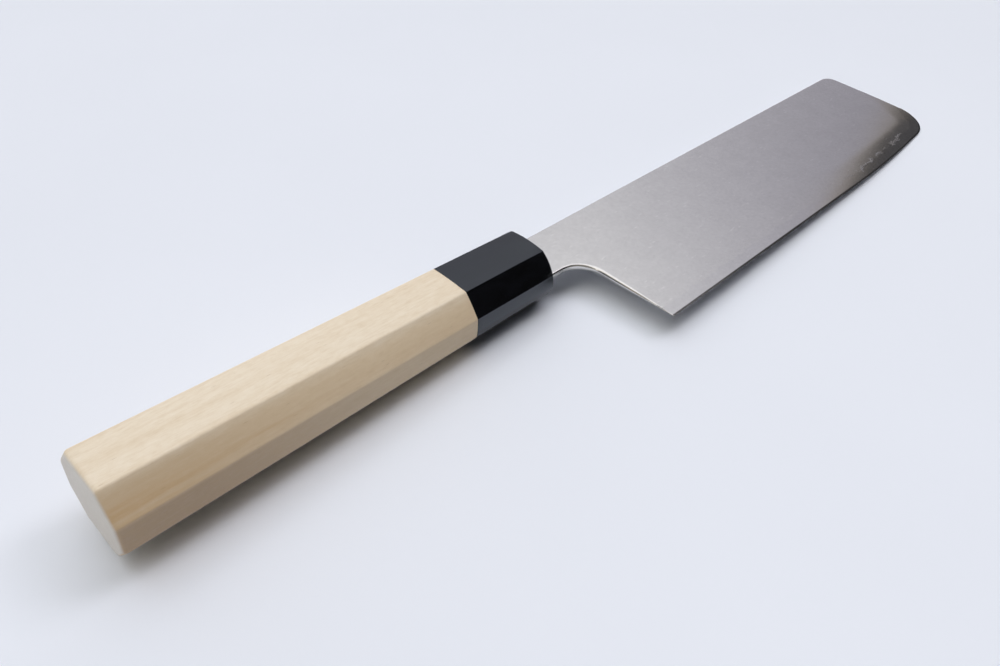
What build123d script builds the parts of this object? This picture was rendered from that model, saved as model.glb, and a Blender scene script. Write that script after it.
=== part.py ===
"""Nakiri kitchen knife: a laminated blade, its tang bedded in an octagonal wooden handle with a horn ferrule.

The knife lies on its side. X runs from the butt of the handle to the front of the blade, Y from the edge to
the spine, and Z up through the flat of the blade. The origin is below the middle of the knife, at the height
of the handle's lowest corner. All lengths are in millimetres.
"""
import os
from math import atan2, degrees, pi, sin, tan

from build123d import *

# Blade outline: places along X are from the ferrule's face, heights along Y from the handle's axis
neck_length = 14.4
blade_length = 164.5
heel_depth = 40.6
neck_above_axis = 7.45
neck_below_axis = 8.65
spine_rise = 1.4
choil_lean = 1.4
choil_radius = 8.0
tip_radius = 4.0
nose_radius = 15.5
belly_rise = 1.6
nose_rise = 4.1
belly_place_share = 0.74
belly_run_share = 0.5

# Blade section: a thin wedge that thins towards the front, then a convex bevel that follows the edge
spine_thickness = 2.2
front_thickness = 1.4
heel_thickness = 1.48
bevel_height = 26.0
bevel_thickness = 1.86
bevel_bulge = 0.12
edge_thickness = 0.05
honed_height = 0.6
honed_thickness = 0.28
runout_share = 0.55
spine_ease = 0.22

# Laminate: a hard core between two claddings, with weld lines that waver a little from the forging
core_thickness = 0.6
weld_swing = 0.04
weld_half_wave = 5.0
weld_drift_share = 0.31

# Tang: it narrows behind two shoulders that seat in the ferrule
neck_seat = 4.0
tang_length = 92.0
tang_root_height = 10.0
tang_tail_height = 5.5
tang_root_thickness = 1.9
tang_tail_thickness = 1.5
tang_clearance = 0.4
neck_clearance = 0.3
tang_hole_spare = 2.5

# Octagonal handle: it widens from the ferrule's face to the butt
handle_length = 123.5
butt_width = 24.0
butt_height = 21.3
butt_side_flat = 13.25
butt_edge_flat = 7.9
face_width = 20.95
face_height = 16.75
face_side_flat = 11.0
face_edge_flat = 6.2
ridge_radius = 0.9
butt_radius = 1.3

# Horn ferrule and the wooden tenon that it sleeves
ferrule_length = 28.3
ferrule_wall = 6.0
ferrule_rim_radius = 1.6
tenon_diameter = 13.2
tenon_clearance = 0.1
tenon_gap = 0.3

# One overrun serves every cut
overrun = 5.0

# The knife's own box gives the place of the ferrule's face
blade_reach = neck_length + blade_length
overall_length = handle_length + blade_reach
face_x = handle_length - overall_length / 2
axis_y = (heel_depth - butt_width / 2) / 2
axis_z = butt_height / 2
mid_plane = Plane(origin=(face_x, axis_y, axis_z), x_dir=(1, 0, 0), z_dir=(0, 0, 1))
side_plane = Plane(origin=(face_x, axis_y, axis_z), x_dir=(1, 0, 0), z_dir=(0, -1, 0))


def station(x):
    """The cross plane at x from the ferrule's face: its own x is the knife's Y, and its own y is the knife's Z."""
    return Plane(origin=(face_x + x, axis_y, axis_z), x_dir=(0, 1, 0), z_dir=(1, 0, 0))


# Corners of the blade's outline, before they are rounded
shoulder_x = -neck_seat
heel = Vector(neck_length, -heel_depth)
choil_corner = Vector(neck_length - choil_lean, -neck_below_axis)
belly_corner = heel + Vector(belly_place_share * blade_length, belly_rise)
nose_corner = Vector(blade_reach, belly_corner.Y + nose_rise)
tip_corner = Vector(blade_reach, neck_above_axis + spine_rise)
neck_top = Vector(shoulder_x, neck_above_axis)
neck_bottom = Vector(shoulder_x, -neck_below_axis)

# Belly and bevel path, from the directions of the two straight runs of the edge
rear_run = belly_corner - heel
front_run = nose_corner - belly_corner
belly_turn = atan2(front_run.Y, front_run.X) - atan2(rear_run.Y, rear_run.X)
belly_radius = belly_run_share * front_run.length / tan(belly_turn / 2)
nose_turn = pi / 2 - atan2(front_run.Y, front_run.X)
nose_start = nose_corner - front_run.normalized() * nose_radius * tan(nose_turn / 2)
nose_centre = nose_start + front_run.normalized().rotate(Axis.Z, 90) * nose_radius
grind_start = heel - rear_run.normalized() * overrun
runout_angle = degrees(runout_share * nose_turn)
runout_run = front_run.rotate(Axis.Z, runout_angle)
runout_start = nose_centre + (nose_start - nose_centre).rotate(Axis.Z, runout_angle)
flat_taper = (spine_thickness - heel_thickness) / 2 / (neck_above_axis + heel_depth)
front_taper = (spine_thickness - front_thickness) / 2 / blade_reach


def flat_side(side):
    """The plane of one flat side: the blade thins evenly along X towards its front and down Y towards the edge."""
    top_edge = (face_x, axis_y + neck_above_axis, axis_z + side * spine_thickness / 2)
    return Plane(origin=top_edge, x_dir=(1, 0, -side * front_taper), z_dir=(front_taper, -flat_taper, side))


def weld_line(side):
    """Draw the wavering line between the core and one cladding, and give its two ends.

    It is straight along the tang. Under the blade it swings out and in by turns, in shallow arcs.
    """
    waves = round((blade_reach + overrun) / weld_half_wave)
    rear = Vector(-tang_length - overrun, side * core_thickness / 2)
    nodes = [Vector(weld_half_wave * wave, side * core_thickness / 2) for wave in range(waves + 1)]
    Line(rear, nodes[0])
    for wave, (near, far) in enumerate(zip(nodes, nodes[1:])):
        strength = 1 + sin(2 * pi * weld_drift_share * wave + side) / 2
        SagittaArc(near, far, weld_swing * strength * (-1) ** wave)
    return rear, nodes[-1]


def tang_bar(clearance, spare):
    """The tapered bar of the tang, or with a clearance and a spare length the hole that it stands in."""
    with BuildPart() as bar:
        for x, height, thickness in (
            (shoulder_x, tang_root_height, tang_root_thickness),
            (-tang_length - spare, tang_tail_height, tang_tail_thickness),
        ):
            with BuildSketch(station(x)):
                Rectangle(height + 2 * clearance, thickness + 2 * clearance)
        loft(ruled=True)
    return bar.part


def neck_slot():
    """Sketch the slot in the ferrule's front wall, a clearance wider than the neck all round."""
    middle = (neck_above_axis - neck_below_axis) / 2
    with Locations((middle, 0)):
        Rectangle(
            neck_above_axis + neck_below_axis + 2 * neck_clearance,
            spine_thickness + 2 * neck_clearance,
        )


def octagon(width, height, side_flat, edge_flat):
    """The corners of a handle section: two wide flats above and below, two narrow flats at the sides."""
    quarter = [(side_flat / 2, height / 2), (width / 2, edge_flat / 2)]
    half = quarter + [(y, -z) for y, z in reversed(quarter)]
    return half + [(-y, -z) for y, z in half]


def octagon_bar(back, front):
    """A length of the handle: a straight octagon of the butt's size, planed down to its eight tapered flats."""
    butt = octagon(butt_width, butt_height, butt_side_flat, butt_edge_flat)
    face = octagon(face_width, face_height, face_side_flat, face_edge_flat)
    butt_plane, face_plane = station(-handle_length), station(0)
    with BuildPart() as bar:
        with BuildSketch(station(back)):
            Polygon(*butt, align=None)
        extrude(amount=front - back)
        for corner in range(len(butt)):
            near, far = Vector(*butt[corner - 1]), Vector(*butt[corner])
            middle = (Vector(*face[corner - 1]) + Vector(*face[corner])) / 2
            along = butt_plane.from_local_coords(far) - butt_plane.from_local_coords(near)
            forwards = face_plane.from_local_coords(middle) - butt_plane.from_local_coords((near + far) / 2)
            flat = Plane(
                origin=face_plane.from_local_coords(middle), x_dir=along, z_dir=forwards.cross(along)
            )
            split(bisect_by=flat, keep=Keep.BOTTOM)
    return bar.part


# Bars that the pieces are cut from or cut with
tang_steel = tang_bar(0, 0)
tang_hole = tang_bar(tang_clearance, tang_hole_spare)
ferrule_bar = octagon_bar(-ferrule_length, 0)
handle_bar = octagon_bar(-handle_length, -ferrule_length)


def across(point, run):
    """The cross plane of the edge at a point: its own x points into the blade, and its own y is the knife's Z."""
    return Plane(
        origin=mid_plane.from_local_coords(point), x_dir=run.normalized().rotate(Axis.Z, 90), z_dir=run
    )


# Section of what is ground away on both sides of the edge, and as much of it as can turn round the nose
with BuildSketch() as grind:
    with BuildLine():
        Polyline(
            (bevel_height, bevel_thickness / 2),
            (bevel_height, spine_thickness),
            (-overrun, spine_thickness),
            (-overrun, edge_thickness / 2),
            (0, edge_thickness / 2),
            (honed_height, honed_thickness / 2),
        )
        SagittaArc((honed_height, honed_thickness / 2), (bevel_height, bevel_thickness / 2), bevel_bulge)
    make_face()
    mirror(about=Plane.XZ)
with BuildSketch() as nose_grind:
    add(grind.sketch)
    split(bisect_by=Plane.YZ.offset(nose_radius), keep=Keep.BOTTOM)

# The forged and ground blade with its tang, before it is told apart into its layers
with BuildPart() as blade_blank:
    with BuildSketch(mid_plane):
        with BuildLine():
            FilletPolyline(neck_bottom, choil_corner, heel, radius=choil_radius)
            FilletPolyline(
                heel, belly_corner, nose_corner, tip_corner, neck_top,
                radius=[belly_radius, nose_radius, tip_radius],
            )
            Line(neck_top, neck_bottom)
        make_face()
    extrude(amount=spine_thickness, both=True)
    for side in (1, -1):
        split(bisect_by=flat_side(side), keep=Keep.BOTTOM)
    flats = blade_blank.faces().sort_by(SortBy.AREA)[-2:]
    chamfer([edge for flat in flats for edge in flat.edges().sort_by(Axis.X)[1:]], length=spine_ease)

    # Convex bevels, ground along the edge and round the nose, where they run out straight
    with BuildLine() as edge_path:
        FilletPolyline(
            *[mid_plane.from_local_coords(corner) for corner in (grind_start, belly_corner, nose_start)],
            radius=belly_radius,
        )
    with BuildSketch(across(grind_start, rear_run)):
        add(grind.sketch)
    sweep(path=edge_path.wires()[0], mode=Mode.SUBTRACT)
    with BuildSketch(across(nose_start, front_run)):
        add(nose_grind.sketch)
    nose_axis = Axis(mid_plane.from_local_coords(nose_centre), (0, 0, 1))
    revolve(axis=nose_axis, revolution_arc=runout_angle, mode=Mode.SUBTRACT)
    with BuildSketch(across(runout_start, runout_run)):
        add(nose_grind.sketch)
    extrude(amount=nose_radius, mode=Mode.SUBTRACT)

    # The tang narrows behind the shoulders
    add(tang_steel)

# Hard core: it shows as a strip along the edge and runs through into the tang
with BuildPart() as core_steel:
    add(blade_blank.part)
    with BuildSketch(side_plane):
        with BuildLine():
            rear_above, front_above = weld_line(1)
            rear_below, front_below = weld_line(-1)
            Line(rear_above, rear_below)
            Line(front_above, front_below)
        make_face()
    extrude(amount=heel_depth + overrun, both=True, mode=Mode.INTERSECT)

# Soft claddings on the two faces of the core
claddings = {}
for name, side in (("cladding_upper", 1), ("cladding_lower", -1)):
    with BuildPart() as layer:
        add(blade_blank.part)
        with BuildSketch(side_plane):
            with BuildLine():
                rear, front = weld_line(side)
                outwards = Vector(0, side * spine_thickness)
                Polyline(rear, rear + outwards, front + outwards, front)
            make_face()
        extrude(amount=heel_depth + overrun, both=True, mode=Mode.INTERSECT)
    claddings[name] = layer

# Horn ferrule: a round bore behind takes the tenon, and a slot in the front wall takes the blade's neck
with BuildPart() as ferrule:
    add(ferrule_bar)
    rim = ferrule.faces().sort_by(Axis.X)[-1]
    fillet(rim.edges(), radius=ferrule_rim_radius)
    with BuildSketch(station(-ferrule_length)):
        Circle(tenon_diameter / 2 + tenon_clearance)
    extrude(amount=ferrule_length - ferrule_wall, mode=Mode.SUBTRACT)
    with BuildSketch(station(shoulder_x)):
        neck_slot()
    extrude(amount=neck_seat, mode=Mode.SUBTRACT)
    add(tang_hole, mode=Mode.SUBTRACT)

# Wooden handle with its turned tenon and the burnt-in hole for the tang
with BuildPart() as handle_body:
    add(handle_bar)
    ends = handle_body.faces().sort_by(Axis.X)
    ridges = handle_body.edges() - ends[0].edges() - ends[-1].edges()
    fillet(ridges, radius=ridge_radius)
    fillet(handle_body.faces().sort_by(Axis.X)[0].edges(), radius=butt_radius)
    with BuildSketch(station(-ferrule_length)):
        Circle(tenon_diameter / 2)
    extrude(amount=ferrule_length - ferrule_wall - tenon_gap)
    add(tang_hole, mode=Mode.SUBTRACT)

# Resin that beds the tang in its hole
with BuildPart() as tang_resin:
    add(tang_hole)
    add(tang_steel, mode=Mode.SUBTRACT)

# Seal that closes the ferrule's mouth round the blade's neck
with BuildPart() as mouth_seal:
    with BuildSketch(station(shoulder_x)):
        neck_slot()
    extrude(amount=neck_seat)
    add(blade_blank.part, mode=Mode.SUBTRACT)

pieces = {
    "core_steel": core_steel,
    **claddings,
    "ferrule": ferrule,
    "handle_body": handle_body,
    "tang_resin": tang_resin,
    "mouth_seal": mouth_seal,
}
os.makedirs("parts", exist_ok=True)
for name, piece in pieces.items():
    piece.part.label = name
    export_step(piece.part, f"parts/{name}.step")
    print(name, piece.part.is_valid, len(piece.solids()), round(piece.part.volume, 1))
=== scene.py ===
"""Nakiri kitchen knife lying on a pale floor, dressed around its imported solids."""
import math

import bmesh
import bpy
import numpy as np
from mathutils import Matrix


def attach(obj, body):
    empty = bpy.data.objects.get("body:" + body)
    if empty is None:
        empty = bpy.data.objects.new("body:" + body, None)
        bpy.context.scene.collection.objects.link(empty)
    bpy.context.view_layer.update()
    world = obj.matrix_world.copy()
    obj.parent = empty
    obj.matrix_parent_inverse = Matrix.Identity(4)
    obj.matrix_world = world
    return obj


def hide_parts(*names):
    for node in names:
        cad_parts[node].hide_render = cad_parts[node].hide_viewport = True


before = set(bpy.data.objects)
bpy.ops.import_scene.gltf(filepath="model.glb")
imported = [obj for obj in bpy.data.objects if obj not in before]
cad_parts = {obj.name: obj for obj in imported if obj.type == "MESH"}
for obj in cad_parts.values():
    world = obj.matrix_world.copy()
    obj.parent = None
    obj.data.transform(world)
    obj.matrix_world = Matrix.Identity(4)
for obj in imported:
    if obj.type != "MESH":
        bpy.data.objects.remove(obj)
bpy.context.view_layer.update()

# All sizes are in millimetres, from the middle of the ferrule's face: x forwards, y to the spine, z up
MM = 0.001
FERRULE_FACE = np.array((-27.7, 14.3, 10.65))

# Blade outline and section
NECK_LENGTH, BLADE_LENGTH, HEEL_DEPTH = 14.4, 164.5, 40.6
NECK_ABOVE, NECK_BELOW, NECK_SEAT = 7.45, 8.65, 4.0
SPINE_RISE, CHOIL_LEAN, BELLY_RISE, NOSE_RISE = 1.4, 1.4, 1.6, 4.1
CHOIL_RADIUS, TIP_RADIUS, NOSE_RADIUS = 8.0, 4.0, 15.5
BELLY_PLACE, BELLY_RUN, RUNOUT_SHARE = 0.74, 0.5, 0.55
SPINE_THICKNESS, FRONT_THICKNESS, HEEL_THICKNESS = 2.2, 1.4, 1.48
BEVEL_HEIGHT, BEVEL_THICKNESS, BEVEL_BULGE = 26.0, 1.86, 0.12
HONED_HEIGHT, HONED_THICKNESS, EDGE_THICKNESS = 0.6, 0.28, 0.05
CHOIL_ROUND, BACK_ROUND = 1.0, 0.26
CORE_THICKNESS = 0.6
TANG_LENGTH, TANG_ROOT, TANG_TAIL = 92.0, (10.0, 1.9), (5.5, 1.5)

# Handle and ferrule
HANDLE_LENGTH, FERRULE_LENGTH, FERRULE_WALL = 123.5, 28.3, 6.0
BUTT = (24.0, 21.3, 13.25, 7.9)
FACE = (20.95, 16.75, 11.0, 6.2)
TENON_RADIUS, TENON_CLEARANCE, TENON_GAP = 6.6, 0.1, 0.3
TANG_CLEARANCE, TANG_SPARE, NECK_CLEARANCE = 0.4, 2.5, 0.3


# Meshes

def finished(name, points, faces, node, slot, sharp=30.0, **marks):
    """A closed mesh from points in millimetres, shaded smooth but for edges sharper than an angle in degrees.

    Each mark is a value at every point, which the piece's material reads.
    """
    mesh = bpy.data.meshes.new(name)
    mesh.from_pydata(((np.asarray(points) + FERRULE_FACE) * MM).tolist(), [], faces)
    for mark, values in marks.items():
        mesh.attributes.new(mark, "FLOAT", "POINT").data.foreach_set("value", values.astype(np.float32))
    shell = bmesh.new()
    shell.from_mesh(mesh)
    bmesh.ops.remove_doubles(shell, verts=shell.verts, dist=2e-7)
    bmesh.ops.dissolve_degenerate(shell, edges=shell.edges, dist=1e-7)
    bmesh.ops.recalc_face_normals(shell, faces=shell.faces)
    shell.to_mesh(mesh)
    shell.free()
    mesh.shade_smooth()
    mesh.set_sharp_from_angle(angle=math.radians(sharp))
    piece = bpy.data.objects.new(name, mesh)
    bpy.context.scene.collection.objects.link(piece)
    weighted = piece.modifiers.new("flats keep their normals", "WEIGHTED_NORMAL")
    weighted.keep_sharp = True
    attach(piece, "root")
    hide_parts(node)
    return piece


def grid_faces(rows, columns, start=0, wrap=False):
    """Quads between neighbouring rows of a grid of points, closed round each row where it wraps."""
    index = start + np.arange(rows * columns).reshape(rows, columns)
    if wrap:
        index = np.column_stack((index, index[:, 0]))
    near, far = index[:-1], index[1:]
    return np.stack((near[:, :-1], near[:, 1:], far[:, 1:], far[:, :-1]), -1).reshape(-1, 4)


# Blade outline

def unit(v):
    return v / np.linalg.norm(v)


def turned(v, angle):
    """v turned anticlockwise by an angle in radians."""
    c, s = math.cos(angle), math.sin(angle)
    return np.array((c * v[0] - s * v[1], s * v[0] + c * v[1]))


def rounded(corners, radii, step=0.25):
    """A polyline whose inner corners become arcs: each arc touches its two runs at r tan(turn / 2)."""
    line = [np.array([corners[0]])]
    for before, corner, after, radius in zip(corners, corners[1:], corners[2:], radii):
        inwards, outwards = unit(corner - before), unit(after - corner)
        turn = math.atan2(inwards[0] * outwards[1] - inwards[1] * outwards[0], inwards @ outwards)
        start = corner - inwards * radius * math.tan(abs(turn) / 2)
        centre = start + turned(inwards, math.copysign(math.pi / 2, turn)) * radius
        angles = np.linspace(0, turn, max(3, int(abs(turn) * radius / step)))
        cos, sin = np.cos(angles)[:, None], np.sin(angles)[:, None]
        arm = start - centre
        line.append(centre + cos * arm + sin * turned(arm, math.pi / 2))
    line.append(np.array([corners[-1]]))
    return np.vstack(line)


def lengths(line):
    """How far along a polyline each of its points lies."""
    return np.concatenate(([0], np.cumsum(np.linalg.norm(np.diff(line, axis=0), axis=1))))


def along(line, places):
    """Points of a polyline at given lengths along it."""
    run = lengths(line)
    return np.column_stack([np.interp(places, run, line[:, axis]) for axis in (0, 1)])


blade_reach = NECK_LENGTH + BLADE_LENGTH
heel = np.array((NECK_LENGTH, -HEEL_DEPTH))
choil_corner = np.array((NECK_LENGTH - CHOIL_LEAN, -NECK_BELOW))
belly_corner = heel + (BELLY_PLACE * BLADE_LENGTH, BELLY_RISE)
nose_corner = np.array((blade_reach, belly_corner[1] + NOSE_RISE))
tip_corner = np.array((blade_reach, NECK_ABOVE + SPINE_RISE))
neck_top = np.array((-NECK_SEAT, NECK_ABOVE))
neck_bottom = np.array((-NECK_SEAT, -NECK_BELOW))

rear_dir, front_dir = unit(belly_corner - heel), unit(nose_corner - belly_corner)
belly_turn = math.atan2(front_dir[1], front_dir[0]) - math.atan2(rear_dir[1], rear_dir[0])
front_length = np.linalg.norm(nose_corner - belly_corner)
belly_tangent = BELLY_RUN * front_length
belly_radius = belly_tangent / math.tan(belly_turn / 2)
belly_start = belly_corner - rear_dir * belly_tangent
belly_centre = belly_start + turned(rear_dir, math.pi / 2) * belly_radius
nose_turn = math.pi / 2 - math.atan2(front_dir[1], front_dir[0])
nose_start = nose_corner - front_dir * NOSE_RADIUS * math.tan(nose_turn / 2)
nose_centre = nose_start + turned(front_dir, math.pi / 2) * NOSE_RADIUS
runout_angle = RUNOUT_SHARE * nose_turn
runout_dir = turned(front_dir, runout_angle)
runout_start = nose_centre + turned(nose_start - nose_centre, runout_angle)
flat_taper = (SPINE_THICKNESS - HEEL_THICKNESS) / 2 / (NECK_ABOVE + HEEL_DEPTH)
front_taper = (SPINE_THICKNESS - FRONT_THICKNESS) / 2 / blade_reach

edge_line = rounded([heel, belly_corner, nose_corner, tip_corner], [belly_radius, NOSE_RADIUS])
back_line = rounded([neck_top, tip_corner, nose_corner + (0, 9.0)], [TIP_RADIUS])
choil_line = rounded([neck_bottom, choil_corner, heel], [CHOIL_RADIUS])


def ground(t):
    """Half thickness at t in from the edge: a short honed slope, then a chord with a shallow bulge."""
    s = (t - HONED_HEIGHT) / (BEVEL_HEIGHT - HONED_HEIGHT)
    chord = HONED_THICKNESS / 2 + (BEVEL_THICKNESS - HONED_THICKNESS) / 2 * s
    honed = EDGE_THICKNESS / 2 + (HONED_THICKNESS - EDGE_THICKNESS) / 2 * np.clip(t / HONED_HEIGHT, 0, 1)
    return np.where(t < HONED_HEIGHT, honed, chord + 4 * BEVEL_BULGE * s * (1 - s))


def from_edge(p):
    """Distance of points from the grind's path: two runs, round the belly and the nose, and straight on."""
    def left_of(origin, run):
        return (p - origin) @ turned(run, math.pi / 2)
    t = left_of(heel, rear_dir)
    in_belly = (p - belly_start) @ rear_dir > 0
    t = np.where(in_belly, belly_radius - np.linalg.norm(p - belly_centre, axis=-1), t)
    in_front = (p - belly_corner) @ front_dir > belly_tangent
    t = np.where(in_front, left_of(nose_start, front_dir), t)
    past_nose = (p - nose_start) @ front_dir > 0
    arm, start_arm = p - nose_centre, nose_start - nose_centre
    angle = np.arctan2(start_arm[0] * arm[..., 1] - start_arm[1] * arm[..., 0], arm @ start_arm)
    round_nose = NOSE_RADIUS - np.linalg.norm(arm, axis=-1)
    t = np.where(past_nose, BEVEL_HEIGHT, t)
    t = np.where(past_nose & (angle >= 0) & (angle <= runout_angle), round_nose, t)
    past_runout = past_nose & ((p - runout_start) @ runout_dir > 0)
    return np.where(past_runout, left_of(runout_start, runout_dir), t)


POINTS_AT_ONCE = 2000


def from_line(p, line):
    """How far points lie from a polyline, by the nearest of its short straight runs."""
    a, b = line[:-1], line[1:]
    run = b - a
    best = np.full(len(p), np.inf)
    for first in range(0, len(p), POINTS_AT_ONCE):
        part = slice(first, first + POINTS_AT_ONCE)
        q = p[part, None] - a
        share = np.clip((q * run).sum(-1) / (run * run).sum(-1), 0, 1)
        best[part] = np.linalg.norm(q - share[..., None] * run, axis=-1).min(1)
    return best


def half_thickness(p, blend=60.0):
    """Half the blade's thickness: the lower of flat and grind, blended a little, and rounded at the outline.

    Within a radius r of the choil or the back, the surface falls by r less a quarter circle's height there.
    """
    flat = SPINE_THICKNESS / 2 - front_taper * p[:, 0] - flat_taper * (NECK_ABOVE - p[:, 1])
    bevel = ground(np.minimum(from_edge(p), BEVEL_HEIGHT + 6))
    height = -np.logaddexp(-blend * flat, -blend * bevel) / blend
    for line, radius in ((choil_line, CHOIL_ROUND), (back_line, BACK_ROUND)):
        r = np.minimum(radius, 0.82 * height)
        near = np.clip(1 - from_line(p, line) / r, 0, 1)
        height = height - r * (1 - np.sqrt(1 - near ** 2))
    return height


def weld_height(p):
    """Half the core's thickness: it wavers by three waves out of step, and not at the blade's ends."""
    x, y = p[:, 0], p[:, 1]
    waver = np.sin(x / 0.71 + y / 1.9) + 0.9 * np.sin(x / 1.13 - y / 2.7 + 1)
    waver = (waver + 1.1 * np.sin(x / 2.3 + 2)) / 3
    fade = np.clip((x - NECK_LENGTH - 0.5) / 4, 0, 1) * np.clip((blade_reach - 1.5 - x) / 5, 0, 1)
    return CORE_THICKNESS / 2 + 0.03 * waver * fade


# The weld line: in from each point of the edge, the grind meets the core

def bisect(inside, low, high):
    """Where a function of an array changes from true to false, between two arrays."""
    for _ in range(40):
        middle = (low + high) / 2
        true = inside(middle)
        low, high = np.where(true, middle, low), np.where(true, high, middle)
    return (low + high) / 2


edge_run = lengths(edge_line)
nose_end = edge_run[-1] - np.linalg.norm(tip_corner - edge_line[-2])


def buried(places):
    """True where the outline, at lengths from the heel, is thinner than the core."""
    p = along(edge_line, places)
    return ground(np.clip(from_edge(p), 0, BEVEL_HEIGHT)) < weld_height(p)


weld_exit = bisect(buried, np.array([nose_end - 12.0]), np.array([edge_run[-1] - 5.0]))[0]
choil_down = unit(heel - choil_corner)
choil_rise = bisect(
    lambda up: ground(np.maximum(from_edge(heel - up[:, None] * choil_down), 0)) < CORE_THICKNESS / 2,
    np.array([0.0]), np.array([12.0]))[0]
weld_start = heel - choil_rise * choil_down

# Cuts along the edge: close over the choil's rounding, even along the blade, and close at the weld's exit
EDGE_CUTS = 440
round_steps = 1 - np.cos(np.linspace(0, math.pi / 2, 13))
edge_places = np.concatenate((1.08 * round_steps, np.linspace(1.3, weld_exit - 0.6, EDGE_CUTS),
                              weld_exit - np.array([0.45, 0.32, 0.2, 0.1, 0.0])))
edge_points = along(edge_line, edge_places)
ahead, behind = np.minimum(edge_places + 0.1, edge_run[-1]), np.maximum(edge_places - 0.1, 0)
tangents = along(edge_line, ahead) - along(edge_line, behind)
normals = np.column_stack((-tangents[:, 1], tangents[:, 0])) / np.linalg.norm(tangents, axis=1)[:, None]
weld_depth = bisect(
    lambda t: ground(np.maximum(from_edge(edge_points + t[:, None] * normals), 0))
    < weld_height(edge_points + t[:, None] * normals),
    np.zeros(len(edge_points)), np.full(len(edge_points), 12.0))
weld_points = edge_points + weld_depth[:, None] * normals
weld_points[0], weld_points[-1] = weld_start, edge_points[-1]

# Rows between the weld line and the spine, by their distance from the weld line at mid blade: close at the
# weld, over the choil's rounding and over the spine's
ROW_STEPS = np.array([0, 0.08, 0.16, 0.25, 0.36, 0.5, 0.7, 1.0, 1.4, 1.9, 2.5])
bevel_rows = np.concatenate((ROW_STEPS, np.linspace(3.3, 29.4, 30)))
seam_rows = np.concatenate((29.4 + round_steps[1:], np.linspace(31.5, 42.8, 7),
                            [43.6, 43.72, 43.82, 43.9, 43.96, 44.0]))
rows = np.concatenate((bevel_rows, seam_rows))

# Left side of the main grid: up the choil, round its radius to the neck, then up a seam to the spine
choil_places = lengths(choil_line)
choil_turn = math.acos(np.clip(np.array((1.0, 0.0)) @ choil_down, -1, 1))
seam_x = choil_corner[0] - CHOIL_RADIUS * math.tan(choil_turn / 2)
seam_bottom = np.array((seam_x, -NECK_BELOW))
spine_slope = SPINE_RISE / (blade_reach + NECK_SEAT)
seam_top = np.array((seam_x, NECK_ABOVE + spine_slope * (seam_x + NECK_SEAT)))
choil_full = choil_places[-1] - choil_rise
seam_place = seam_x + NECK_SEAT
share = bevel_rows / bevel_rows[-1]
choil_side = along(choil_line, choil_full - share * (choil_full - seam_place))
rise = (seam_rows - bevel_rows[-1]) / (rows[-1] - bevel_rows[-1])
seam_side = seam_bottom + rise[:, None] * (seam_top - seam_bottom)
left = np.vstack((choil_side, seam_side))

# Right side: from the weld line's exit up the front to the middle of the tip's rounding
tip_place = np.linalg.norm(tip_corner - neck_top) - TIP_RADIUS * 0.2
right_path = rounded([nose_corner, tip_corner, neck_top], [TIP_RADIUS])
right_run = lengths(right_path)
exit_height = edge_points[-1][1]
exit_place = np.interp(exit_height, right_path[:, 1][right_path[:, 0] > blade_reach - 1e-6],
                       right_run[right_path[:, 0] > blade_reach - 1e-6])
tip_middle = right_run[-1] - tip_place
right = along(right_path, exit_place + rows / rows[-1] * (tip_middle - exit_place))
right[0] = edge_points[-1]

# Spine side, as many points as the weld line has
weld_share = lengths(weld_points) / lengths(weld_points)[-1]
spine_from = np.linalg.norm(seam_top - neck_top)
top = along(back_line, spine_from + weld_share * (tip_place - spine_from))
top[-1] = right[-1]


def coons(bottom, top, left, right, across, up):
    """A grid between four boundary lines: the two rulings added, less the ruling of the corners."""
    u, v = across[None, :, None], up[:, None, None]
    ruled = (1 - v) * bottom[None] + v * top[None] + (1 - u) * left[:, None] + u * right[:, None]
    corners = (1 - u) * (1 - v) * bottom[0] + u * (1 - v) * bottom[-1]
    corners = corners + (1 - u) * v * top[0] + u * v * top[-1]
    return ruled - corners


main_grid = coons(weld_points, top, left, right, weld_share, rows / rows[-1])

# Neck and tang grids carry on from the seam's rows
neck_rows = np.arange(len(bevel_rows) - 1, len(rows))
neck_columns = np.array([-NECK_SEAT, -2.0, 0.0, 1.5, 3.0, seam_x - 0.5])
seam_heights = left[neck_rows][:, 1]
spine_heights = NECK_ABOVE + spine_slope * (neck_columns + NECK_SEAT)
share_up = (seam_heights + NECK_BELOW) / (seam_top[1] + NECK_BELOW)
neck_y = -NECK_BELOW + share_up[:, None] * (spine_heights + NECK_BELOW)[None]
tang_low, tang_high = 13, len(neck_rows) - 7
shoulder = np.interp(np.arange(len(neck_rows)), [0, tang_low, tang_high, len(neck_rows) - 1],
                     [-NECK_BELOW, -TANG_ROOT[0] / 2, TANG_ROOT[0] / 2, NECK_ABOVE])
neck_y[:, 0] = shoulder
neck_x = np.broadcast_to(neck_columns, neck_y.shape)
neck_grid = np.dstack((np.column_stack((neck_x, np.full(len(neck_rows), seam_x))),
                       np.column_stack((neck_y, seam_heights))))
tang_columns = np.concatenate((np.linspace(-TANG_LENGTH, -NECK_SEAT - 0.3, 24), [-NECK_SEAT]))
tang_height = np.interp(tang_columns, [-TANG_LENGTH, -NECK_SEAT], [TANG_TAIL[0], TANG_ROOT[0]])
tang_share = (shoulder[tang_low:tang_high + 1] / TANG_ROOT[0])
tang_grid = np.dstack((np.broadcast_to(tang_columns, (len(tang_share), len(tang_columns))),
                       tang_share[:, None] * tang_height[None]))

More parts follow.
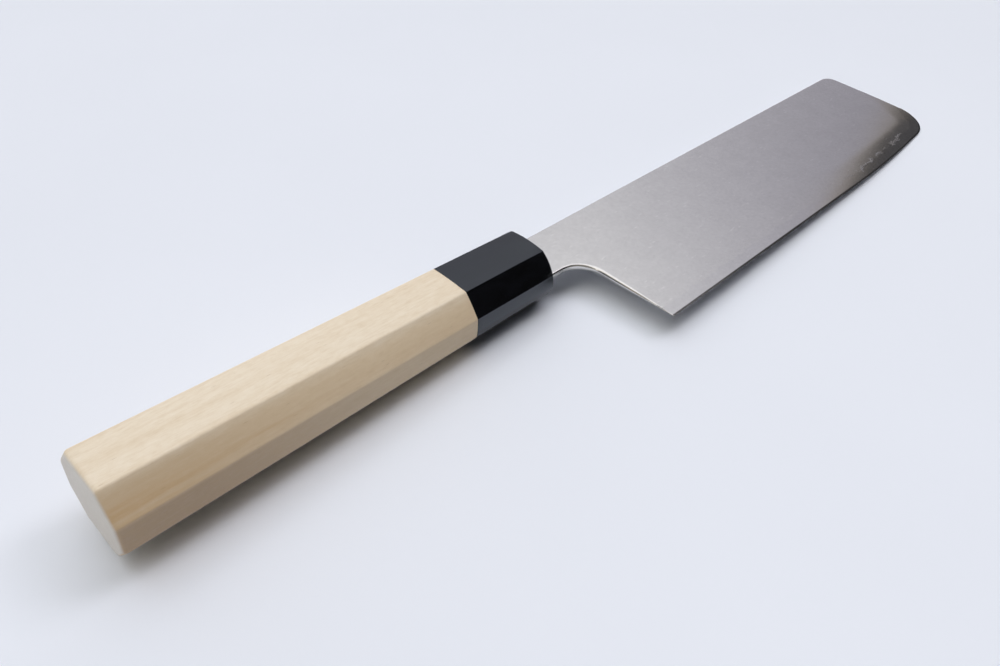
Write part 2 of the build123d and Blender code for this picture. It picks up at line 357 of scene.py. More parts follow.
# The bare strip of core below the weld line, from the edge up, in shares of the honed slope and of the rest
SLOPE_SHARES = (0, 0.5, 0.93, 1.0)
BARE_SHARES = (0.02, 0.12, 0.26, 0.42, 0.58, 0.72, 0.83, 0.9, 0.95, 0.98, 1.0)
strip_low = np.minimum(HONED_HEIGHT, weld_depth / 2)
strip_depth = np.vstack((np.outer(SLOPE_SHARES, strip_low),
                         strip_low + np.outer(BARE_SHARES, weld_depth - strip_low)))
strip_grid = edge_points[None] + strip_depth[..., None] * normals[None]
strip_grid[-1] = weld_points
fraction = np.where(weld_depth > 1e-9, strip_depth / np.maximum(weld_depth, 1e-9), 1)
strip_grid[:, 0] = heel + fraction[:, 0, None] * (weld_start - heel)
strip_grid[:, -1] = edge_points[-1]


KEYS_PER_MM = 5000


def keys(points):
    """Whole numbers for points of the plan, the same where points meet."""
    return np.round(points * KEYS_PER_MM).astype(np.int64)


def merged(grids):
    """One plan of quads from several grids, with points that meet made one."""
    points = np.vstack([g.reshape(-1, 2) for g in grids])
    faces, start = [], 0
    for g in grids:
        faces.append(grid_faces(g.shape[0], g.shape[1], start))
        start += g.shape[0] * g.shape[1]
    _, first, back = np.unique(keys(points), axis=0, return_index=True, return_inverse=True)
    return points[first], back.reshape(-1)[np.vstack(faces)]


def slab(points, faces, upper, lower):
    """A closed shell over a plan: its quads at the upper and lower heights, and walls along edges used once.

    Quads of no thickness are left out, so a shell can taper to nothing.
    """
    faces = faces[((upper - lower)[faces] > 1e-5).any(1)]
    a, b, c, d = faces.T
    area = (points[c, 0] - points[a, 0]) * (points[d, 1] - points[b, 1]) \
        - (points[d, 0] - points[b, 0]) * (points[c, 1] - points[a, 1])
    faces = np.where((area < 0)[:, None], faces[:, ::-1], faces)
    n = len(points)
    sides = np.vstack([np.column_stack((faces[:, i], faces[:, (i + 1) % 4])) for i in range(4)])
    sides = sides[sides[:, 0] != sides[:, 1]]
    key = np.sort(sides, axis=1)
    _, first, count = np.unique(key, axis=0, return_index=True, return_counts=True)
    rim = sides[first[count == 1]]
    rim = rim[(np.abs(upper - lower)[rim] > 1e-6).any(1)]
    walls = np.column_stack((rim[:, 1], rim[:, 0], rim[:, 0] + n, rim[:, 1] + n))
    shell = np.vstack((np.column_stack((points, upper)), np.column_stack((points, lower))))
    quads = np.vstack((faces, faces[:, ::-1] + n, walls))
    return shell, [list(dict.fromkeys(q)) for q in quads.tolist() if len(set(q)) > 2]


def tang_half(p):
    """Half the tang's thickness, which falls evenly to its tail."""
    return np.interp(p[:, 0], [-TANG_LENGTH, -NECK_SEAT - 0.3], [TANG_TAIL[1] / 2, TANG_ROOT[1] / 2])


layer_points, layer_faces = merged([main_grid, neck_grid, tang_grid])
in_tang = layer_points[:, 0] < -NECK_SEAT - 0.1
layer_top = np.where(in_tang, tang_half(layer_points), half_thickness(layer_points))
layer_core = weld_height(layer_points)
pair = [("x", np.int64), ("y", np.int64)]
on_weld = np.isin(keys(layer_points).view(pair).ravel(), keys(weld_points).view(pair).ravel())
layer_top = np.where(on_weld, layer_core, layer_top)
layer_core = np.minimum(layer_core, layer_top)

core_points, core_faces = merged([main_grid, neck_grid, tang_grid, strip_grid])
core_top = np.where(core_points[:, 0] < -NECK_SEAT - 0.1, np.inf, half_thickness(core_points))
core_top = np.minimum(weld_height(core_points), core_top)
shell, faces = slab(core_points, core_faces, core_top, -core_top)
bare = half_thickness(core_points) < weld_height(core_points) - 1e-6
core_weld = from_line(core_points, weld_points) * np.where(bare, -1, 1)
# Painted shade: the honed slope's mark, which darkens the core's colour for the dark reflection and shadow
# along the edge, fades over 0.06 mm at the slope's top
painted_edge_shade = np.clip((HONED_HEIGHT + 0.02 - from_edge(core_points)) / 0.06, 0, 1)
core = finished("core_steel_ground", shell, faces, "core_steel", "core_steel",
                from_weld=np.tile(core_weld, 2), honed=np.tile(painted_edge_shade, 2))
layer_weld = np.tile(from_line(layer_points, weld_points), 2)
claddings = []
for name, side in (("cladding_upper", 1), ("cladding_lower", -1)):
    shell, faces = slab(layer_points, layer_faces, layer_top, layer_core)
    shell = shell * (1, 1, side)
    if side < 0:
        faces = [face[::-1] for face in faces]
    claddings.append(finished(name + "_ground", shell, faces, name, "cladding", from_weld=layer_weld))


# Handle and ferrule: rings of an octagon that tapers along x

CORNER_CUTS, FLAT_CUTS = 8, 12


def flats(section):
    """The eight flats of a section as middles and directions, from the upper one round by the +y side."""
    width, height, side_flat, edge_flat = section
    quarter = [(side_flat / 2, height / 2), (width / 2, edge_flat / 2)]
    half = quarter + [(y, -z) for y, z in reversed(quarter)]
    corners = np.array(half + [(-y, -z) for y, z in half])
    before = np.roll(corners, 1, axis=0)
    return (before + corners) / 2, (corners - before) / np.linalg.norm(corners - before, axis=1)[:, None]


butt_middles, flat_runs = flats(BUTT)
face_middles = flats(FACE)[0]


def octagon_ring(x, inset, radius, crown=0.0):
    """One ring: the flats' lines at x, set in, meet in corners rounded by arcs, and flats rise to a crown.

    The lower flat, which lies on the floor, rises to a third of it.
    """
    crown = crown * np.where(np.arange(8) == 4, 0.33, 1.0)[:, None, None]
    middles = face_middles + (butt_middles - face_middles) * (-x / HANDLE_LENGTH)
    outward = np.column_stack((-flat_runs[:, 1], flat_runs[:, 0]))
    offset = (middles * outward).sum(1) - inset
    nxt = np.roll(np.arange(8), -1)
    det = outward[:, 0] * outward[nxt, 1] - outward[:, 1] * outward[nxt, 0]
    corner = np.column_stack((
        (offset * outward[nxt, 1] - offset[nxt] * outward[:, 1]) / det,
        (outward[:, 0] * offset[nxt] - outward[nxt, 0] * offset) / det))
    start = np.arctan2(outward[:, 1], outward[:, 0])
    turn = (np.arctan2(outward[nxt, 1], outward[nxt, 0]) - start + math.pi) % (2 * math.pi) - math.pi
    centre = corner - (outward + outward[nxt]) / (1 + np.cos(turn))[:, None] * radius
    angles = start[:, None] + turn[:, None] * np.linspace(0, 1, CORNER_CUTS + 1)[None]
    arcs = centre[:, None] + radius * np.dstack((np.cos(angles), np.sin(angles)))
    steps = np.linspace(0, 1, FLAT_CUTS + 1)[1:-1, None]
    runs = arcs[:, -1][:, None] + steps[None] * (arcs[nxt][:, 0] - arcs[:, -1])[:, None]
    runs = runs + crown[nxt] * (4 * steps * (1 - steps))[None] * outward[nxt][:, None]
    ring = np.concatenate((arcs, runs), axis=1).reshape(-1, 2)
    return np.column_stack((np.full(len(ring), x), ring))


def circle_ring(x, radius, like):
    """A round ring whose points lie at the angles of another ring's points."""
    angle = np.arctan2(like[:, 2], like[:, 1])
    return np.column_stack((np.full(len(like), x), radius * np.cos(angle), radius * np.sin(angle)))


def slot_ring(x, height, thickness, like, middle=0.0):
    """A rectangular ring: the points between two of another ring's diagonals share one side evenly."""
    angle = np.arctan2(like[:, 2], like[:, 1])
    half_y, half_z = height / 2, thickness / 2
    diagonal = math.atan2(8.0, 10.0)
    turn = (angle + diagonal) % (2 * math.pi)
    bounds = np.array((0, 2 * diagonal, math.pi, math.pi + 2 * diagonal, 2 * math.pi))
    corner = [np.argmin(np.abs((turn - b + math.pi) % (2 * math.pi) - math.pi)) for b in bounds[:4]]
    order = np.argsort(turn)
    place = np.interp(np.arange(len(like)), [list(order).index(c) for c in corner] + [len(like)], range(5))
    places = np.empty(len(like))
    places[order] = place
    corners = np.array(((1, -1), (1, 1), (-1, 1), (-1, -1), (1, -1))) * (half_y, half_z)
    y = np.interp(places, range(5), corners[:, 0]) + middle
    z = np.interp(places, range(5), corners[:, 1])
    return np.column_stack((np.full(len(like), x), y, z))


def tang_hole(x):
    """Height and thickness of the tang's hole at x."""
    share = (-NECK_SEAT - x) / (TANG_LENGTH + TANG_SPARE - NECK_SEAT)
    return [root + (tail - root) * share + 2 * TANG_CLEARANCE for root, tail in zip(TANG_ROOT, TANG_TAIL)]


def lofted(rings, closed):
    """Points and quads through a list of rings: closed back on itself, or with its two end rings filled."""
    points = np.vstack(rings)
    count, size = len(rings), len(rings[0])
    faces = grid_faces(count, size, wrap=True)
    if closed:
        last, first = np.arange(size) + (count - 1) * size, np.arange(size)
        faces = np.vstack((faces, np.column_stack((last, np.roll(last, -1), np.roll(first, -1), first))))
        return points, faces.tolist()
    first_cap, last_cap = list(range(size - 1, -1, -1)), list(range((count - 1) * size, count * size))
    return points, faces.tolist() + [first_cap, last_cap]


RIDGE_RADIUS, BUTT_RADIUS, JOINT_EASE, WOOD_CROWN, CROWN_RUN = 0.9, 1.34, 0.2, 0.14, 40.0
butt_x, joint_x = -HANDLE_LENGTH, -FERRULE_LENGTH
like = octagon_ring(butt_x, 0, RIDGE_RADIUS)


def wood_ring(x, inset=0.0):
    """The wood's ridges are sanded soft, and its flats rise to a slight crown away from the butt."""
    return octagon_ring(x, inset, RIDGE_RADIUS, WOOD_CROWN * np.clip((x - butt_x - 3) / CROWN_RUN, 0, 1))


def quarter_rings(ring, x, inwards, radius, cuts):
    """Rings round an end's edge by a quarter circle, from the end's own face to the sides."""
    return [ring(x + inwards * radius * (1 - math.cos(a)), radius * (1 - math.sin(a)))
            for a in np.linspace(0, math.pi / 2, cuts)]


handle_rings = [octagon_ring(butt_x, inset, RIDGE_RADIUS * 0.7) for inset in (9.0, 7.0, 5.0, 3.2, 2.0)]
handle_rings += quarter_rings(wood_ring, butt_x, 1, BUTT_RADIUS, 10)
handle_rings += [wood_ring(x) for x in np.linspace(butt_x + BUTT_RADIUS + 1, joint_x - 0.8, 60)]
handle_rings += quarter_rings(wood_ring, joint_x, -1, JOINT_EASE, 5)[::-1]
tenon_x = -FERRULE_WALL - TENON_GAP
handle_rings += [circle_ring(joint_x, TENON_RADIUS, like), circle_ring(tenon_x, TENON_RADIUS, like),
                 slot_ring(tenon_x, *tang_hole(tenon_x), like),
                 slot_ring(-TANG_LENGTH - TANG_SPARE, *tang_hole(-TANG_LENGTH - TANG_SPARE), like)]
handle = finished("handle_planed", *lofted(handle_rings, closed=False), "handle_body", "ho_wood")

RIM_X, RIM_RADIUS, RIM_ROUNDING, JOINT_EDGE = 0.15, 0.9, 12.0, 0.08
HORN_RIDGE, RIM_RIDGE, HORN_CROWN, RIM_CROWN = 0.34, 0.6, 0.12, 0.32
slot_height = NECK_ABOVE + NECK_BELOW + 2 * NECK_CLEARANCE
slot_middle = (NECK_ABOVE - NECK_BELOW) / 2
slot_thickness = SPINE_THICKNESS + 2 * NECK_CLEARANCE


def horn_ring(x, inset=0.0):
    """The horn's ridges are crisp behind, and near the rim they are rounder and the flats rise to a crown."""
    near_rim = np.clip((x + RIM_ROUNDING) / RIM_ROUNDING, 0, 1) ** 2
    return octagon_ring(x, inset, HORN_RIDGE + RIM_RIDGE * near_rim, HORN_CROWN + RIM_CROWN * near_rim)


like = octagon_ring(0, 0, RIDGE_RADIUS)
ferrule_rings = [slot_ring(RIM_X, slot_height, slot_thickness, like, slot_middle)]
ferrule_rings += quarter_rings(horn_ring, RIM_X, -1, RIM_RADIUS, 12)
ferrule_rings += [horn_ring(x) for x in np.linspace(-1.6, joint_x + 0.4, 30)]
ferrule_rings += quarter_rings(horn_ring, joint_x, 1, JOINT_EDGE, 3)[::-1]
bore = TENON_RADIUS + TENON_CLEARANCE
ferrule_rings += [circle_ring(joint_x, bore, like), circle_ring(-FERRULE_WALL, bore, like),
                  slot_ring(-FERRULE_WALL, *tang_hole(-FERRULE_WALL), like),
                  slot_ring(-NECK_SEAT, *tang_hole(-NECK_SEAT), like),
                  slot_ring(-NECK_SEAT, slot_height, slot_thickness, like, slot_middle)]
ferrule = finished("ferrule_polished", *lofted(ferrule_rings, closed=True), "ferrule", "horn")


# Materials

def linear(code):
    """An sRGB hex colour as linear light."""
    values = np.array([int(code[i:i + 2], 16) / 255 for i in (0, 2, 4)])
    return tuple(np.where(values <= 0.04045, values / 12.92, ((values + 0.055) / 1.055) ** 2.4)) + (1.0,)


def add(tree, kind, inputs=None, **settings):
    """Adds a node with its settings, and fills or links its inputs: a node as input lends its live output."""
    made = tree.nodes.new("ShaderNode" + kind)
    for key, value in settings.items():
        setattr(made, key, value)
    for key, value in (inputs or {}).items():
        if isinstance(value, bpy.types.Node):
            value = next(output for output in value.outputs if output.enabled)
        if isinstance(value, bpy.types.NodeSocket):
            tree.links.new(value, made.inputs[key])
        else:
            made.inputs[key].default_value = value
    return made


def material(name):
    """An empty material with its tree, its shader and its object coordinates in millimetres."""
    made = bpy.data.materials.new(name)
    made.use_nodes = True
    tree = made.node_tree
    tree.nodes.clear()
    shader = add(tree, "BsdfPrincipled")
    add(tree, "OutputMaterial", {"Surface": shader})
    place = add(tree, "TexCoord").outputs["Object"]
    return made, tree, shader, add(tree, "VectorMath", {0: place, "Scale": 1 / MM}, operation="SCALE")


def dashes(tree, mm, length, width, turn, share):
    """Sparse short marks: ellipses round the cell points of a long-drawn pattern, in a share of the cells."""
    # A spot spans about this share of a cell
    span = 0.3
    drawn = add(tree, "Mapping", {"Vector": mm, "Rotation": turn,
                                  "Scale": (span / length, span / width, span / width)})
    cells = add(tree, "TexVoronoi", {"Vector": drawn, "Scale": 1.0})
    chance = add(tree, "SeparateColor", {0: cells.outputs["Color"]})
    kept = add(tree, "MapRange", {0: chance, 1: share, 2: share + 0.02, 3: 1.0, 4: 0.0})
    spot = add(tree, "MapRange", {0: cells.outputs["Distance"], 1: 0.06, 2: 0.17, 3: 1.0, 4: 0.0},
               interpolation_type="SMOOTHSTEP")
    return add(tree, "Math", {0: spot, 1: kept}, operation="MULTIPLY")


def ripple(tree, mm, away, shift, share):
    """A thin broken line that wanders on both sides of the weld, by noise at its own place."""
    moved = add(tree, "Mapping", {"Vector": mm, "Location": (shift, 0.0, 0.0)})
    wander = add(tree, "TexNoise", {"Vector": moved, "Scale": 0.34, "Detail": 4.0, "Roughness": 0.68})
    wander = add(tree, "MapRange", {0: wander, 1: 0.25, 2: 0.75, 3: -1.5, 4: 1.5})
    aside = add(tree, "Math", {0: add(tree, "Math", {0: away, 1: wander}, operation="SUBTRACT")},
                operation="ABSOLUTE")
    line = add(tree, "MapRange", {0: aside, 1: 0.04, 2: 0.40, 3: 1.0, 4: 0.0},
               interpolation_type="SMOOTHSTEP")
    gaps = add(tree, "MapRange", {0: add(tree, "TexNoise", {"Vector": moved, "Scale": 0.21, "Detail": 0.0}),
                                  1: share, 2: share + 0.12}, interpolation_type="SMOOTHSTEP")
    return add(tree, "Math", {0: line, 1: gaps}, operation="MULTIPLY")


def steel(name, colour, roughness, hairs):
    """Satin steel: a mottle, sparse hairlines, a honed slope darkened as painted shade for the dark
    reflection and shadow along the edge, and ripples of the weld near the nose.
    """
    made, tree, shader, mm = material(name)
    # The real grain is finer than a pixel, so the mottle is drawn about a millimetre coarse
    grain = add(tree, "TexNoise", {"Vector": mm, "Scale": 0.9, "Detail": 4.0, "Roughness": 0.7})
    cloud = add(tree, "TexNoise", {"Vector": mm, "Scale": 0.16, "Detail": 3.0, "Roughness": 0.6})
    hair = [dashes(tree, mm, length, 0.13, (0, 0, turn), share) for length, turn, share in
            ((2.4, 0.2, 0.12), (1.5, 1.1, 0.08), (2.0, -0.7, 0.10), (1.5, 2.0, 0.06))]
    hair = add(tree, "Math", {0: add(tree, "Math", {0: hair[0], 1: hair[1]}, operation="MAXIMUM"),
                              1: add(tree, "Math", {0: hair[2], 1: hair[3]}, operation="MAXIMUM")},
               operation="MAXIMUM")
    hair = add(tree, "Math", {0: hair, 1: hairs}, operation="MULTIPLY")

    away = add(tree, "Attribute", attribute_name="from_weld").outputs["Fac"]
    weld = add(tree, "Math", {0: ripple(tree, mm, away, 0.0, 0.38), 1: ripple(tree, mm, away, 60.0, 0.48)},
               operation="MAXIMUM")
    # Ripples come out over 86 to 100 mm forwards of the origin, and go where the nose begins to turn
    forwards = add(tree, "SeparateXYZ", {"Vector": mm})
    for part in (add(tree, "MapRange", {0: forwards, 1: 86.0, 2: 100.0, 3: 0.08, 4: 1.0}),
                 add(tree, "MapRange", {0: forwards, 1: 133.0, 2: 139.0, 3: 1.0, 4: 0.1})):
        weld = add(tree, "Math", {0: weld, 1: part}, operation="MULTIPLY")

    tone = add(tree, "Math", {0: grain, 1: 0.20, 2: 0.83}, operation="MULTIPLY_ADD")
    tone = add(tree, "Math", {0: cloud, 1: 0.12, 2: tone}, operation="MULTIPLY_ADD")
    tone = add(tree, "Math", {0: hair, 1: 0.30, 2: tone}, operation="MULTIPLY_ADD")
    # Painted shade: the honed slope's colour is darkened to stand for the dark reflection and shadow along
    # the edge
    honed = add(tree, "Attribute", attribute_name="honed").outputs["Fac"]
    tone = add(tree, "Math", {0: honed, 1: -0.48, 2: tone}, operation="MULTIPLY_ADD")
    tree.links.new(add(tree, "Mix", {"Factor": 1.0, "A": linear(colour), "B": tone}, data_type="RGBA",
                       blend_type="MULTIPLY").outputs[2], shader.inputs["Base Color"])
    shader.inputs["Metallic"].default_value = 1.0
    matt = add(tree, "Math", {0: cloud, 1: 0.04, 2: roughness - 0.02}, operation="MULTIPLY_ADD")
    matt = add(tree, "Math", {0: weld, 1: 0.05, 2: matt}, operation="MULTIPLY_ADD")
    tree.links.new(matt.outputs[0], shader.inputs["Roughness"])
    # Heights in thousandths of a millimetre
    height = add(tree, "Math", {0: grain, 1: 3.0, 2: 0.0}, operation="MULTIPLY_ADD")
    height = add(tree, "Math", {0: hair, 1: 1.5, 2: height}, operation="MULTIPLY_ADD")
    height = add(tree, "Math", {0: weld, 1: 11.0, 2: height}, operation="MULTIPLY_ADD")
    tree.links.new(add(tree, "Bump", {"Height": height, "Strength": 1.0, "Distance": 0.001 * MM}).outputs[0],
                   shader.inputs["Normal"])
    return made


# Soft iron cladding, ground to a satin: an even grey mirror with a faint mottle and stray hairlines
cladding_steel = steel("ground_iron_cladding", "DDDBD9", 0.12, 1.0)

# Hard carbon steel core, honed finer than the cladding, so its strip is a touch clearer
bare_core = steel("honed_carbon_core", "DAD8D7", 0.10, 0.4)

# Bare ho wood, planed and sanded: cream above, with faint fibres and ticks along the grain, flanks in a
# darker tan as painted shade that deepens towards the butt, a soft brown streak low on them, and paler end
# grain darkened a touch as painted shade
ho_wood, tree, shader, mm = material("sanded_ho_wood")
split = add(tree, "SeparateXYZ", {"Vector": mm})
bands = add(tree, "TexNoise", {"Vector": add(tree, "Mapping", {"Vector": mm, "Scale": (0.012, 0.30, 0.30)}),
                               "Scale": 1.0, "Detail": 3.0, "Roughness": 0.55})
fibre = add(tree, "TexNoise", {"Vector": add(tree, "Mapping", {"Vector": mm, "Scale": (0.22, 1.9, 1.9)}),
                               "Scale": 1.0, "Detail": 4.0, "Roughness": 0.65})
mottle = add(tree, "TexNoise", {"Vector": add(tree, "Mapping", {"Vector": mm, "Scale": (0.35, 0.8, 0.8)}),
                                "Scale": 1.0, "Detail": 4.0, "Roughness": 0.7})
ticks = dashes(tree, mm, 1.5, 0.16, (0, 0, 0), 0.16)
# Places on the handle, in millimetres: aside from its middle, along it, and up
sideways = add(tree, "Math", {0: split.outputs["Y"], 1: FERRULE_FACE[1]}, operation="SUBTRACT")
sideways = add(tree, "Math", {0: sideways}, operation="ABSOLUTE")
flank = add(tree, "MapRange", {0: sideways, 1: 5.4, 2: 8.2}, interpolation_type="SMOOTHSTEP")
low_flank = add(tree, "MapRange", {0: sideways, 1: 7.6, 2: 10.4}, interpolation_type="SMOOTHSTEP")
to_butt = add(tree, "MapRange", {0: split.outputs["X"], 1: -80.0, 2: -145.0}, interpolation_type="SMOOTHSTEP")
streak = add(tree, "Mapping", {"Vector": mm, "Scale": (0.014, 0.34, 0.34)})
streak = add(tree, "TexNoise", {"Vector": streak, "Scale": 1.0, "Detail": 3.0})
streak = add(tree, "MapRange", {0: streak, 1: 0.40, 2: 0.66}, interpolation_type="SMOOTHSTEP")
above_side = add(tree, "MapRange", {0: split.outputs["Z"], 1: 13.4, 2: 14.8}, interpolation_type="SMOOTHSTEP")
for part in (low_flank, above_side, add(tree, "MapRange", {0: to_butt, 3: 0.25, 4: 1.0})):
    streak = add(tree, "Math", {0: streak, 1: part}, operation="MULTIPLY")
# Painted shade: the flanks take a darker tan than the cream top, darker again towards the butt
tan = add(tree, "Mix", {"Factor": to_butt, "A": linear("E0CCAD"), "B": linear("CFB897")}, data_type="RGBA")
colour = add(tree, "Mix", {"Factor": flank, "A": linear("E8DBC4"), "B": tan.outputs[2]}, data_type="RGBA")
# Painted shade: the sides darken further towards the butt, below the upper bevel
side = add(tree, "MapRange", {0: sideways, 1: 10.3, 2: 11.0})
for part in (add(tree, "MapRange", {0: to_butt, 3: 0.27, 4: 1.0}),
             add(tree, "MapRange", {0: above_side, 3: 1.0, 4: 0.0})):
    side = add(tree, "Math", {0: side, 1: part}, operation="MULTIPLY")
upper = add(tree, "MapRange", {0: flank, 3: 1.0, 4: 0.3})
pale_mottle, pale_fibre = [
    add(tree, "Math", {0: add(tree, "MapRange", {0: noise, 1: high, 2: 0.25}), 1: upper},
        operation="MULTIPLY") for noise, high in ((mottle, 0.48), (fibre, 0.46))]
for factor, share, tone in ((add(tree, "MapRange", {0: bands, 1: 0.42, 2: 0.70}), 0.30, "D3BC98"),
                            (side, 0.50, "9E7F64"),
                            (streak, 0.55, "BE9763"),
                            (add(tree, "MapRange", {0: mottle, 1: 0.48, 2: 0.75}), 0.22, "C9B08A"),
                            (pale_mottle, 0.22, "F4EBDD"),
                            (add(tree, "MapRange", {0: fibre, 1: 0.50, 2: 0.78}), 0.26, "C6AC84"),
                            (pale_fibre, 0.24, "F6EEDF"),
                            (ticks, 0.34, "A68A66")):
    share = add(tree, "Math", {0: factor, 1: share}, operation="MULTIPLY")
    colour = add(tree, "Mix", {"Factor": share, "A": colour.outputs[2], "B": linear(tone)}, data_type="RGBA")
# The end grain's grey is its own tone, made a touch darker as painted shade
end = add(tree, "MapRange", {0: split.outputs["X"], 1: -151.12, 2: -150.7, 3: 0.92, 4: 0.0})
end_grain = add(tree, "Mix", {"Factor": mottle, "A": linear("C9C3BB"), "B": linear("DDD9D2")},
                data_type="RGBA")
colour = add(tree, "Mix", {"Factor": end, "A": colour.outputs[2], "B": end_grain.outputs[2]},
             data_type="RGBA")
tree.links.new(colour.outputs[2], shader.inputs["Base Color"])
tree.links.new(add(tree, "Math", {0: fibre, 1: 0.16, 2: 0.42}, operation="MULTIPLY_ADD").outputs[0],
               shader.inputs["Roughness"])
height = add(tree, "Math", {0: ticks, 1: -0.5, 2: fibre}, operation="MULTIPLY_ADD")
height = add(tree, "Math", {0: mottle, 1: 0.7, 2: height}, operation="MULTIPLY_ADD")
tree.links.new(add(tree, "Bump", {"Height": height, "Strength": 1.0, "Distance": 0.03 * MM}).outputs[0],
               shader.inputs["Normal"])

# Black buffalo horn, polished: a deep gloss with faint growth clouds and fine scratches
horn, tree, shader, mm = material("polished_buffalo_horn")
cloud = add(tree, "TexNoise", {"Vector": add(tree, "Mapping", {"Vector": mm, "Scale": (0.10, 0.35, 0.35)}),
                               "Scale": 1.0, "Detail": 4.0, "Roughness": 0.65, "Distortion": 0.6})
scratch = dashes(tree, mm, 1.4, 0.14, (0, 0, 0.3), 0.10)
colour = add(tree, "Mix", {"Factor": add(tree, "MapRange", {0: cloud, 1: 0.35, 2: 0.75}),
                           "A": linear("060607"), "B": linear("0F1014")}, data_type="RGBA")
tree.links.new(colour.outputs[2], shader.inputs["Base Color"])
shader.inputs["IOR"].default_value = 1.62
# Painted reflection: the horn's reflection is tinted blue, so the room's light shows bluish on its flats
shader.inputs["Specular Tint"].default_value = (0.78, 0.86, 1.0, 1.0)
matt = add(tree, "Math", {0: cloud, 1: 0.10, 2: 0.05}, operation="MULTIPLY_ADD")
matt = add(tree, "Math", {0: scratch, 1: 0.15, 2: matt}, operation="MULTIPLY_ADD")
tree.links.new(matt.outputs[0], shader.inputs["Roughness"])
tree.links.new(add(tree, "Bump", {"Height": cloud, "Strength": 1.0, "Distance": 0.014 * MM}).outputs[0],
               shader.inputs["Normal"])

# Cast resin that beds the tang, amber and cloudy
resin, tree, shader, mm = material("cast_resin")
colour = add(tree, "Mix", {"Factor": add(tree, "TexNoise", {"Vector": mm, "Scale": 0.5, "Detail": 3.0}),
                           "A": linear("5F4E34"), "B": linear("786549")}, data_type="RGBA")
tree.links.new(colour.outputs[2], shader.inputs["Base Color"])
shader.inputs["Roughness"].default_value = 0.4

# Black filler in the ferrule's mouth, smoothed by a fingertip and dull
seal, tree, shader, mm = material("neck_filler")
colour = add(tree, "Mix", {"Factor": add(tree, "TexNoise", {"Vector": mm, "Scale": 3.0, "Detail": 2.0}),
                           "A": linear("121110"), "B": linear("1E1C1A")}, data_type="RGBA")
tree.links.new(colour.outputs[2], shader.inputs["Base Color"])
shader.inputs["Roughness"].default_value = 0.5

for piece, look in ((core, bare_core), (claddings[0], cladding_steel), (claddings[1], cladding_steel),
                    (handle, ho_wood), (ferrule, horn), (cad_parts["tang_resin"], resin),
                    (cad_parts["mouth_seal"], seal)):
    piece.data.materials.clear()
    piece.data.materials.append(look)


# Floor: the plane that the knife rests on, by its nose, the front of its blade and the ferrule's lower corner

FLOOR_RISE = np.array((0.0422766, -0.0328738))
FLOOR_AT_ORIGIN = 3.72 * MM
FLOOR_HALF = 4.0
floor_corners = np.array(((-1, -1), (1, -1), (1, 1), (-1, 1))) * FLOOR_HALF
floor_mesh = bpy.data.meshes.new("floor")
floor_points = np.column_stack((floor_corners, FLOOR_AT_ORIGIN + floor_corners @ FLOOR_RISE))
floor_mesh.from_pydata(floor_points.tolist(), [], [(0, 1, 2, 3)])
floor = bpy.data.objects.new("floor", floor_mesh)
bpy.context.scene.collection.objects.link(floor)
pale, tree, shader, mm = material("honed_pale_slab")
colour = add(tree, "Mix", {"Factor": add(tree, "TexNoise", {"Vector": mm, "Scale": 0.01, "Detail": 2.0}),
                           "A": linear("E2E7EF"), "B": linear("E7ECF4")}, data_type="RGBA")
tree.links.new(colour.outputs[2], shader.inputs["Base Color"])
shader.inputs["Roughness"].default_value = 0.6
floor_mesh.materials.append(pale)

# Light: a room with a broad soft source overhead, a window high beyond the blade's nose, a wall behind the
# spine that pales upwards and towards +y, and a dim side before the edge. Azimuth turns from +x to +y, and
# arch from +y over +z, both in degrees.
DEGREE = math.pi / 180
world = bpy.data.worlds.new("room")
bpy.context.scene.world = world
world.use_nodes = True
tree = world.node_tree
tree.nodes.clear()
x, y, z = add(tree, "SeparateXYZ", {"Vector": add(tree, "TexCoord").outputs["Generated"]}).outputs
azimuth, arch = [add(tree, "Math", {0: add(tree, "Math", {0: rise, 1: run}, operation="ARCTAN2"), 1: DEGREE},
                     operation="DIVIDE") for rise, run in ((y, x), (z, y))]
smooth = {"interpolation_type": "SMOOTHSTEP"}

wall = add(tree, "MapRange", {0: z, 1: 0.40, 2: 0.86, 3: 0.43, 4: 0.94}, **smooth)
swing = add(tree, "MapRange", {0: azimuth, 1: 17.5, 2: 36.0, 3: -0.05, 4: 0.215})
corner = add(tree, "MapRange", {0: x, 1: -0.6, 2: -0.1, 3: 0.35, 4: 1.0}, **smooth)
lit_wall = add(tree, "Math", {0: wall, 1: swing}, operation="ADD")
bright = add(tree, "Math", {0: lit_wall, 1: corner}, operation="MULTIPLY")
dim = add(tree, "MapRange", {0: azimuth, 1: -60.0, 2: -10.0, 3: 0.02, 4: 0.078}, **smooth)
above, below = [add(tree, "Math", {0: z, 1: slope, 2: -0.42 * slope}, operation="MULTIPLY_ADD")
                for slope in (14.0, -11.0)]
border = add(tree, "Math", {0: above, 1: below}, operation="MAXIMUM")
border = add(tree, "Math", {0: border, 1: azimuth}, operation="ADD")
level = add(tree, "Mix", {"Factor": add(tree, "MapRange", {0: border, 1: 15.8, 2: 18.0}, **smooth), "A": dim,
                          "B": bright})

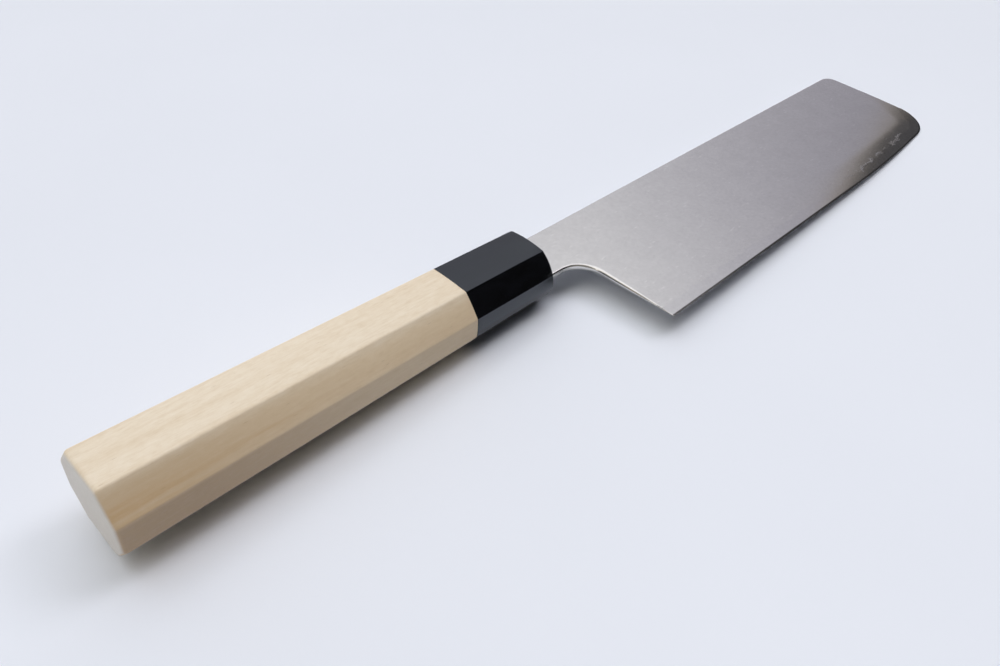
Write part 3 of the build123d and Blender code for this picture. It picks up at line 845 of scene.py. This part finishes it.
beside = add(tree, "MapRange", {0: x, 1: 0.30, 2: 0.56, 3: 1.0, 4: 0.0}, **smooth)
overhead = add(tree, "MapRange", {0: arch, 1: 76.0, 2: 84.0, 3: 0.80, 4: 2.25}, **smooth)
for part in (beside, add(tree, "MapRange", {0: arch, 1: 48.0, 2: 58.0}, **smooth),
             add(tree, "MapRange", {0: arch, 1: 97.0, 2: 106.0, 3: 1.0, 4: 0.0}, **smooth)):
    overhead = add(tree, "Math", {0: overhead, 1: part}, operation="MULTIPLY")
window = add(tree, "MapRange", {0: x, 1: 0.30, 2: 0.56, 3: 0.0, 4: 5.8}, **smooth)
for part in (add(tree, "MapRange", {0: arch, 1: 80.0, 2: 94.0}, **smooth),
             add(tree, "MapRange", {0: arch, 1: 108.0, 2: 120.0, 3: 1.0, 4: 0.0}, **smooth),
             add(tree, "MapRange", {0: z, 1: 0.62, 2: 0.72}, **smooth)):
    window = add(tree, "Math", {0: window, 1: part}, operation="MULTIPLY")
haze = add(tree, "MapRange", {0: z, 1: 0.03, 2: 0.12, 3: 0.55, 4: 0.0}, **smooth)
for part in (overhead, window, haze):
    level = add(tree, "Math", {0: level, 1: part}, operation="ADD")

tint = add(tree, "Mix", {"Factor": add(tree, "MapRange", {0: lit_wall, 1: 0.4, 2: 0.9}),
                         "A": linear("F2F0FF"), "B": linear("FAFBFF")}, data_type="RGBA")
for place, low, high, tone in ((border, 16.8, 19.2, "F2E8E0"), (border, 15.0, 16.8, "FAF8FF"),
                               (border, -60.0, -20.0, "FAF4EC"), (x, -0.5, -0.1, "FBF8F3")):
    shift = add(tree, "MapRange", {0: place, 1: low, 2: high}, **smooth)
    tint = add(tree, "Mix", {"Factor": shift, "A": linear(tone), "B": tint.outputs[2]}, data_type="RGBA")
# Reflections show the sources at 1.25 of white at most and the side before the edge no darker than a dim
# wall, and the camera sees the room as pale as the floor
path = add(tree, "LightPath")
seen = add(tree, "MapRange", {0: azimuth, 1: -62.0, 2: -88.0, 3: 0.0, 4: 0.26}, **smooth)
seen = add(tree, "Math", {0: seen, 1: level}, operation="MAXIMUM")
seen = add(tree, "Math", {0: seen, 1: 1.25}, operation="MINIMUM")
level = add(tree, "Mix", {"Factor": path.outputs["Is Glossy Ray"], "A": level, "B": seen})
level = add(tree, "Mix", {"Factor": path.outputs["Is Camera Ray"], "A": level, "B": 0.95})
tint = add(tree, "Mix", {"Factor": path.outputs["Is Camera Ray"], "A": tint.outputs[2],
                         "B": linear("E2E6F0")}, data_type="RGBA")
add(tree, "OutputWorld", {"Surface": add(tree, "Background", {"Color": tint.outputs[2], "Strength": level})})


# Camera: fitted to the outlines of the knife
CAMERA_TURN = ((0.7140290, 0.4305845, -0.5520503),
               (-0.6970331, 0.5111253, -0.5028875),
               (0.0656313, 0.7438736, 0.6650900))
CAMERA_PLACE = (-0.1739247, -0.1116734, 0.1564527)
lens = bpy.data.cameras.new("camera")
lens.lens, lens.sensor_width = 31.4419, 36.0
lens.clip_start = 0.005
camera = bpy.data.objects.new("camera", lens)
camera.matrix_world = Matrix.Translation(CAMERA_PLACE) @ Matrix(CAMERA_TURN).to_4x4()
bpy.context.scene.collection.objects.link(camera)
bpy.context.scene.camera = camera
bpy.context.scene.view_settings.view_transform = "Standard"
